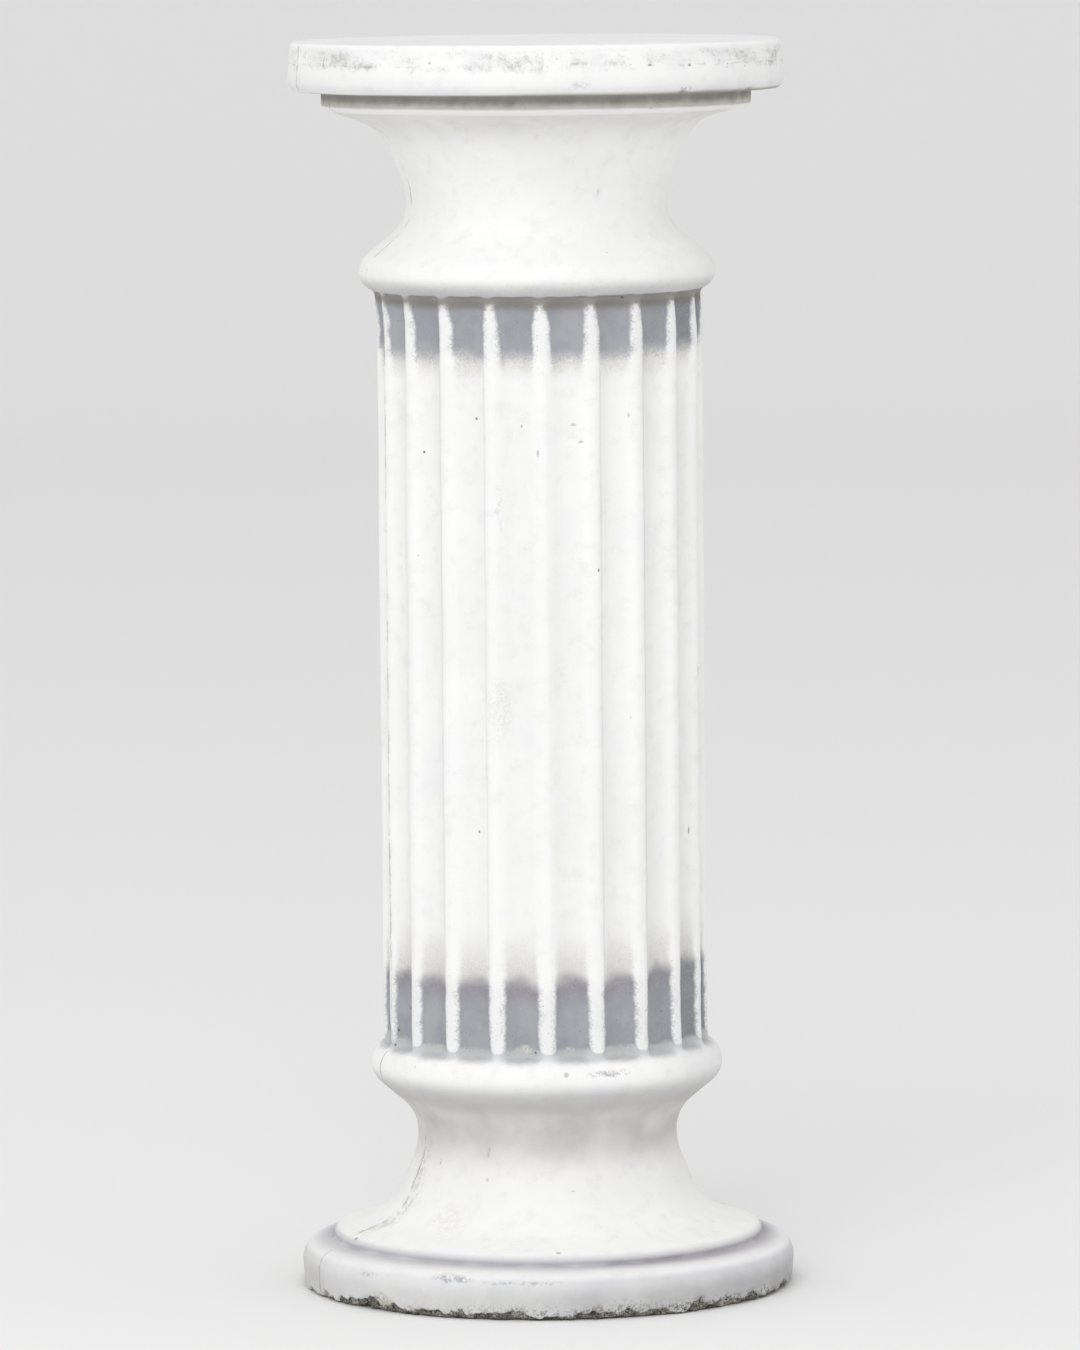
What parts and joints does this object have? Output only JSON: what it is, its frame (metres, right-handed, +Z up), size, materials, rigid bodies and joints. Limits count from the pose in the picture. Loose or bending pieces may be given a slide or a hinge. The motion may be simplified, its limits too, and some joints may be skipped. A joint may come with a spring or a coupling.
{
  "type": "pedestal column",
  "caption": "Round pedestal column cast in one piece: flat top plate, flared capital, fluted shaft and matching base, painted off-white with grey at the flute ends.",
  "frame": {"origin": "centre of the flat underside, on the column's axis, at ground level", "axes": "+Z up along the column's axis, -Y towards the side shown in the picture, +X to the right seen from there"},
  "size_m": [0.309, 0.309, 0.78],
  "materials": {
    "painted_stone": "matt off-white masonry paint over cast stone, with soft grey antiquing in the flute ends and bare, dirty stone at the broken lower rim"
  },
  "bodies": {
    "root": {"column": "painted_stone"}
  },
  "joints": []
}
